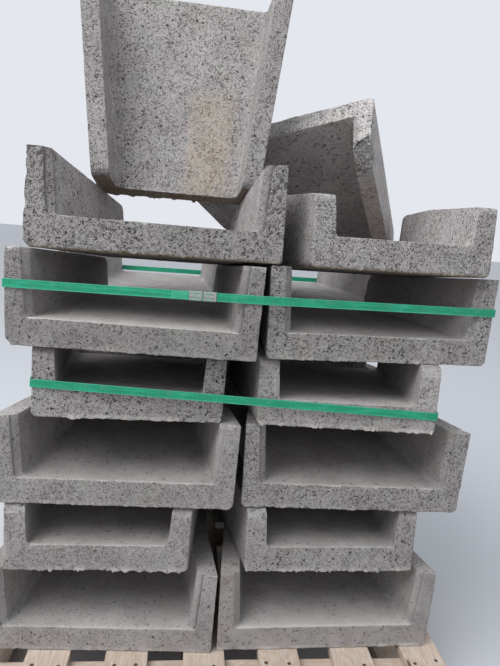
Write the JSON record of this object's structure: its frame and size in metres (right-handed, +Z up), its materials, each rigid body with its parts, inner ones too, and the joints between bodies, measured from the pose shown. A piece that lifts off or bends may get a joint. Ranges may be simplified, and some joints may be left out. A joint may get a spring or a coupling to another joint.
{
  "type": "pallet load of precast concrete drainage trays",
  "caption": "Strapped pallet load of tapered, U-shaped precast concrete drainage trays, stacked in rows, with a tray stood upright and one tipped face down on top.",
  "frame": {"origin": "centre of the pallet's underside, on the middle bottom board, where the load stands on level ground", "axes": "+X to the right, +Y to the back, +Z up, seen from the side that the picture shows"},
  "size_m": [1.1741, 1.2231, 1.712],
  "materials": {
    "concrete": "rough grey precast concrete with pores, chips and earth stains",
    "pallet_board": "sawn pale softwood, weathered",
    "pallet_block": "sawn softwood block",
    "strap": "embossed green polyester strap",
    "seal": "dull galvanized, crimped"
  },
  "bodies": {
    "root": {"front_left_tray_1": "concrete", "front_left_tray_2": "concrete", "front_left_tray_3": "concrete", "front_left_tray_4": "concrete", "front_left_tray_5": "concrete", "front_left_tray_6": "concrete", "front_right_tray_1": "concrete", "front_right_tray_2": "concrete", "front_right_tray_3": "concrete", "front_right_tray_4": "concrete", "front_right_tray_5": "concrete", "front_right_tray_6": "concrete", "rear_left_tray_1": "concrete", "rear_left_tray_2": "concrete", "rear_left_tray_3": "concrete", "rear_left_tray_4": "concrete", "rear_left_tray_5": "concrete", "rear_right_tray_1": "concrete", "rear_right_tray_2": "concrete", "rear_right_tray_3": "concrete", "rear_right_tray_4": "concrete", "rear_right_tray_5": "concrete", "upright_tray": "concrete", "leaning_tray": "concrete", "deck_board_1": "pallet_board", "deck_board_2": "pallet_board", "deck_board_3": "pallet_board", "deck_board_4": "pallet_board", "deck_board_5": "pallet_board", "deck_board_6": "pallet_board", "deck_board_7": "pallet_board", "cross_board_front": "pallet_board", "cross_board_middle": "pallet_board", "cross_board_rear": "pallet_board", "blocks_left": "pallet_block", "blocks_middle": "pallet_block", "blocks_right": "pallet_block", "bottom_board_left": "pallet_board", "bottom_board_middle": "pallet_board", "bottom_board_right": "pallet_board", "upper_strap": "strap", "lower_strap": "strap", "strap_seals": "seal"}
  },
  "joints": []
}
